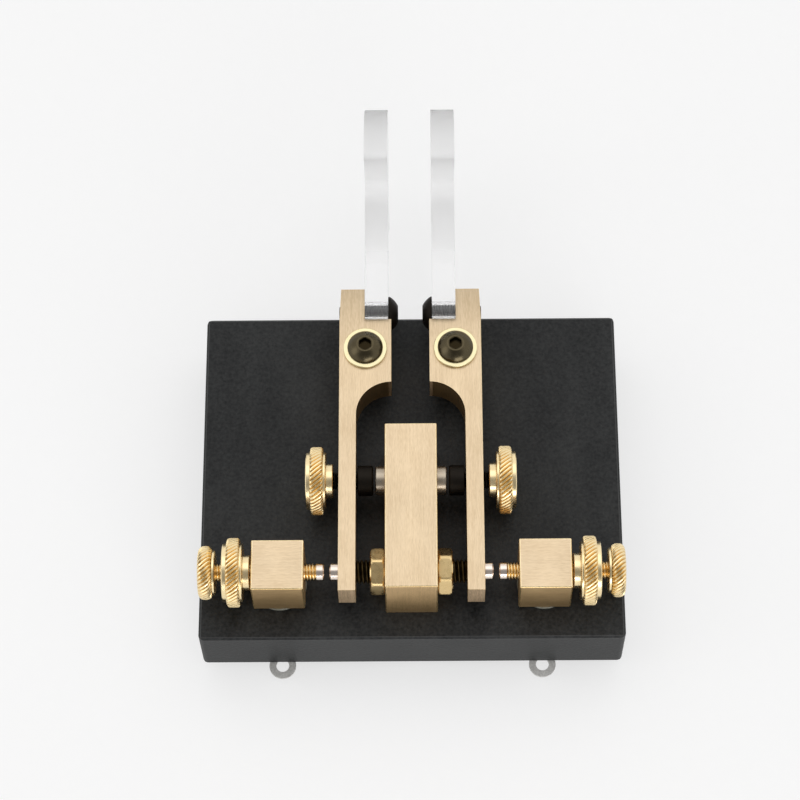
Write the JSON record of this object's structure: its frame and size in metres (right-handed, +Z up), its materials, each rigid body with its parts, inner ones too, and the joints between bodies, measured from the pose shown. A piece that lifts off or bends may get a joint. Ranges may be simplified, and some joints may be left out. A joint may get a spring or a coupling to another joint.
{
  "type": "dual paddle telegraph key",
  "caption": "Dual paddle telegraph key: two pivoted brass levers with clear finger pieces close silver contacts set by knurled thumb screws, on a black base with rubber feet.",
  "frame": {"origin": "centre of the four rubber feet, on the surface that the key stands on", "axes": "+X to the right, +Y from the contacts towards the finger pieces, +Z up"},
  "size_m": [0.072, 0.0994, 0.0353],
  "materials": {
    "black_base": "matte, fine grained",
    "rubber": "matte",
    "brushed_brass": "brushed",
    "turned_brass": "turned and knurled",
    "polished_brass": "polished",
    "black_steel": "black oxide",
    "silver": "satin silver",
    "nickel": "plated",
    "tin": "dull tinned",
    "nylon": "matte",
    "clear_acrylic": "clear, polished"
  },
  "bodies": {
    "base": {"base_plate": "black_base", "rubber_feet": "rubber", "center_block": "brushed_brass", "center_block_screws": "black_steel", "common_solder_lug": "tin", "left_contact_post": "brushed_brass", "right_contact_post": "brushed_brass", "left_post_screw": "black_steel", "right_post_screw": "black_steel", "left_post_washer": "nylon", "right_post_washer": "nylon", "left_under_washer": "nylon", "right_under_washer": "nylon", "left_solder_lug": "tin", "right_solder_lug": "tin", "left_pivot_bush": "polished_brass", "right_pivot_bush": "polished_brass", "left_pivot_washer": "polished_brass", "right_pivot_washer": "polished_brass", "left_pivot_screw": "black_steel", "right_pivot_screw": "black_steel", "left_magnet": "nickel", "right_magnet": "nickel"},
    "left_arm": {"left_lever": "brushed_brass", "left_lever_contact": "silver", "left_finger_piece": "clear_acrylic", "left_finger_screw": "black_steel"},
    "right_arm": {"right_lever": "brushed_brass", "right_lever_contact": "silver", "right_finger_piece": "clear_acrylic", "right_finger_screw": "black_steel"},
    "left_tip": {"left_contact_tip": "silver"},
    "right_tip": {"right_contact_tip": "silver"},
    "left_contact_screw": {"left_contact_screw": "turned_brass"},
    "right_contact_screw": {"right_contact_screw": "turned_brass"},
    "left_lock_nut": {"left_lock_nut": "turned_brass"},
    "right_lock_nut": {"right_lock_nut": "turned_brass"},
    "left_magnet_screw": {"left_magnet_screw": "black_steel"},
    "right_magnet_screw": {"right_magnet_screw": "black_steel"},
    "left_magnet_knob": {"left_magnet_knob": "turned_brass"},
    "right_magnet_knob": {"right_magnet_knob": "turned_brass"},
    "left_stop_screw": {"left_stop_screw": "black_steel"},
    "right_stop_screw": {"right_stop_screw": "black_steel"},
    "left_stop_nut": {"left_stop_nut": "polished_brass"},
    "right_stop_nut": {"right_stop_nut": "polished_brass"}
  },
  "joints": [
    {"name": "left_press", "type": "hinge", "parent": "base", "child": "left_arm", "pos_m": [-0.00777, 0.01965, 0.0214], "axis": [0, 0, -1], "range_deg": [0, 1.3], "stiffness_Nm_per_rad": 0.132, "springref_deg": -3.47},
    {"name": "right_press", "type": "hinge", "parent": "base", "child": "right_arm", "pos_m": [0.00777, 0.01965, 0.0214], "axis": [0, 0, 1], "range_deg": [0, 1.3], "stiffness_Nm_per_rad": 0.132, "springref_deg": -3.47},
    {"name": "left_contact_feed", "type": "slide", "parent": "base", "child": "left_tip", "axis": [-1, 0, 0], "range_m": [-0.00075, 0.00325]},
    {"name": "left_contact_turn", "type": "hinge", "parent": "left_tip", "child": "left_contact_screw", "pos_m": [-0.0224, -0.0203, 0.0214], "axis": [-1, 0, 0], "range_deg": [-541, 2341]},
    {"name": "right_contact_feed", "type": "slide", "parent": "base", "child": "right_tip", "axis": [1, 0, 0], "range_m": [-0.00075, 0.00325]},
    {"name": "right_contact_turn", "type": "hinge", "parent": "right_tip", "child": "right_contact_screw", "pos_m": [0.0224, -0.0203, 0.0214], "axis": [1, 0, 0], "range_deg": [-541, 2341]},
    {"name": "left_lock_turn", "type": "hinge", "parent": "base", "child": "left_lock_nut", "pos_m": [-0.0284, -0.0203, 0.0214], "axis": [-1, 0, 0], "range_deg": [-320, 720]},
    {"name": "right_lock_turn", "type": "hinge", "parent": "base", "child": "right_lock_nut", "pos_m": [0.0284, -0.0203, 0.0214], "axis": [1, 0, 0], "range_deg": [-320, 720]},
    {"name": "left_magnet_feed", "type": "slide", "parent": "left_arm", "child": "left_magnet_screw", "axis": [-1, 0, 0], "range_m": [-0.00033, 0.00025]},
    {"name": "left_magnet_turn", "type": "hinge", "parent": "left_magnet_screw", "child": "left_magnet_knob", "pos_m": [-0.0144, -0.0038, 0.0214], "axis": [-1, 0, 0], "range_deg": [-240, 181]},
    {"name": "right_magnet_feed", "type": "slide", "parent": "right_arm", "child": "right_magnet_screw", "axis": [1, 0, 0], "range_m": [-0.00033, 0.00025]},
    {"name": "right_magnet_turn", "type": "hinge", "parent": "right_magnet_screw", "child": "right_magnet_knob", "pos_m": [0.0144, -0.0038, 0.0214], "axis": [1, 0, 0], "range_deg": [-240, 181]},
    {"name": "left_stop_feed", "type": "slide", "parent": "base", "child": "left_stop_screw", "axis": [1, 0, 0], "range_m": [0, 0.0004]},
    {"name": "right_stop_feed", "type": "slide", "parent": "base", "child": "right_stop_screw", "axis": [-1, 0, 0], "range_m": [0, 0.0004]},
    {"name": "left_stop_turn", "type": "hinge", "parent": "base", "child": "left_stop_nut", "pos_m": [-0.0055, -0.0203, 0.0214], "axis": [-1, 0, 0], "range_deg": [-30, 360]},
    {"name": "right_stop_turn", "type": "hinge", "parent": "base", "child": "right_stop_nut", "pos_m": [0.0055, -0.0203, 0.0214], "axis": [1, 0, 0], "range_deg": [-30, 360]}
  ],
  "couplings": [
    {"joint": "left_contact_turn", "follows": "left_contact_feed", "rad_per_m": 12566},
    {"joint": "right_contact_turn", "follows": "right_contact_feed", "rad_per_m": 12566},
    {"joint": "left_magnet_turn", "follows": "left_magnet_feed", "rad_per_m": 12566},
    {"joint": "right_magnet_turn", "follows": "right_magnet_feed", "rad_per_m": 12566}
  ]
}
